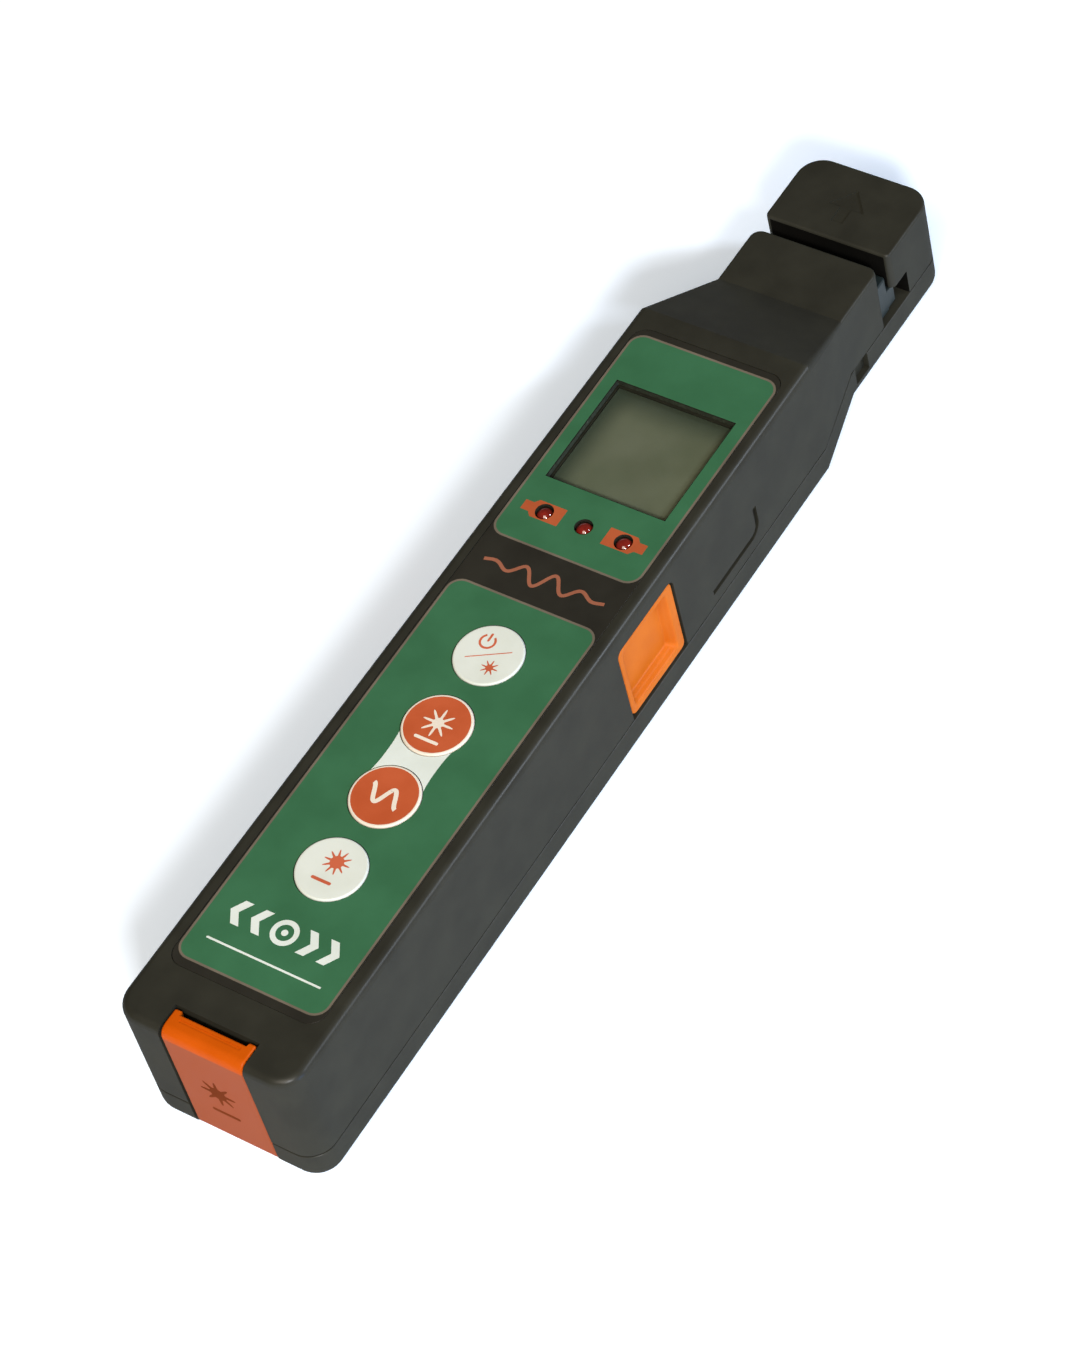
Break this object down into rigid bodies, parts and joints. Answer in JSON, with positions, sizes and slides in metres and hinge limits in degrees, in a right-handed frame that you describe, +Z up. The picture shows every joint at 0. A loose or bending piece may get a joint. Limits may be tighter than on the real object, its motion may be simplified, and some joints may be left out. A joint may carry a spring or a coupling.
{
  "type": "optical fiber identifier",
  "caption": "Hand-held clip-on optical fibre identifier with clamping head, display, four keys, squeeze buttons on the sides and a covered laser port at the rear.",
  "frame": {"origin": "on the resting plane under the middle of the instrument, which lies on its back", "axes": "+X to the right side, +Y along the length to the clamping head, +Z up through the keypad"},
  "size_m": [0.0332, 0.196, 0.0272],
  "materials": {
    "housing": "fine-textured moulded ABS",
    "label": "printed film, satin",
    "clear": "clear polished acrylic",
    "orange": "satin moulded",
    "jaw": "satin moulded",
    "key_white": "satin",
    "key_red": "satin",
    "led_red": "clear tinted dome",
    "glass": "liquid crystal glass",
    "board": "solder mask",
    "black": "moulded",
    "steel": "turned",
    "brass": "plated",
    "cell": "printed sleeve",
    "flex": "polyimide"
  },
  "bodies": {
    "case": {"upper_shell": "housing", "lower_shell": "housing", "head_hook": "housing", "case_screw_rear_left": "steel", "case_screw_rear_right": "steel", "case_screw_middle_left": "steel", "case_screw_middle_right": "steel", "case_screw_front_left": "steel", "case_screw_front_right": "steel", "hook_screw_left": "steel", "hook_screw_right": "steel", "fault_port": "steel", "cover_pin": "steel", "return_spring": "steel", "contact_spring_left": "steel", "contact_spring_right": "steel", "panel_label": "label", "display_window": "clear", "display_module": "glass", "led_left": "led_red", "led_middle": "led_red", "led_right": "led_red", "main_board": "board", "detector_board": "board", "processor_chip": "black", "buzzer": "black", "switch_fault_locator": "black", "switch_wavelength": "black", "switch_light": "black", "switch_power": "black", "photodiode_left": "black", "photodiode_right": "black", "detector_flex": "flex", "laser_barrel": "brass", "contact_strip_front": "brass", "contact_plate_left": "brass", "contact_plate_right": "brass", "cell_left": "cell", "cell_right": "cell"},
    "jaw": {"clamp_jaw": "jaw", "pull_rod": "steel", "slide_carriage": "black", "spring_collar": "steel"},
    "button_right": {"side_button_right": "orange"},
    "button_left": {"side_button_left": "orange"},
    "cover": {"fault_cover": "orange"},
    "door": {"battery_door": "housing"},
    "key_fault_locator_body": {"key_fault_locator": "key_white"},
    "key_wavelength_body": {"key_wavelength": "key_red"},
    "key_light_body": {"key_light": "key_red"},
    "key_power_body": {"key_power": "key_white"}
  },
  "joints": [
    {"name": "jaw_slide", "type": "slide", "parent": "case", "child": "jaw", "axis": [0, -1, 0], "range_m": [0, 0.003], "stiffness_N_per_m": 600, "springref_m": -0.005, "deforming": ["return_spring"]},
    {"name": "button_right_press", "type": "slide", "parent": "case", "child": "button_right", "axis": [-1, 0, 0], "range_m": [0, 0.003]},
    {"name": "button_left_press", "type": "slide", "parent": "case", "child": "button_left", "axis": [1, 0, 0], "range_m": [0, 0.003]},
    {"name": "cover_hinge", "type": "hinge", "parent": "case", "child": "cover", "pos_m": [0, -0.0956, 0.0026], "axis": [1, 0, 0], "range_deg": [0, 90]},
    {"name": "door_hinge", "type": "hinge", "parent": "case", "child": "door", "pos_m": [0, -0.01715, 0], "axis": [1, 0, 0], "range_deg": [0, 70]},
    {"name": "key_fault_locator_press", "type": "slide", "parent": "case", "child": "key_fault_locator_body", "axis": [0, 0, -1], "range_m": [0, 0.0005], "stiffness_N_per_m": 1500, "springref_m": -0.0004},
    {"name": "key_wavelength_press", "type": "slide", "parent": "case", "child": "key_wavelength_body", "axis": [0, 0, -1], "range_m": [0, 0.0005], "stiffness_N_per_m": 1500, "springref_m": -0.0004},
    {"name": "key_light_press", "type": "slide", "parent": "case", "child": "key_light_body", "axis": [0, 0, -1], "range_m": [0, 0.0005], "stiffness_N_per_m": 1500, "springref_m": -0.0004},
    {"name": "key_power_press", "type": "slide", "parent": "case", "child": "key_power_body", "axis": [0, 0, -1], "range_m": [0, 0.0005], "stiffness_N_per_m": 1500, "springref_m": -0.0004}
  ],
  "couplings": [
    {"joint": "button_right_press", "follows": "jaw_slide", "ratio": 1},
    {"joint": "button_left_press", "follows": "jaw_slide", "ratio": 1}
  ]
}
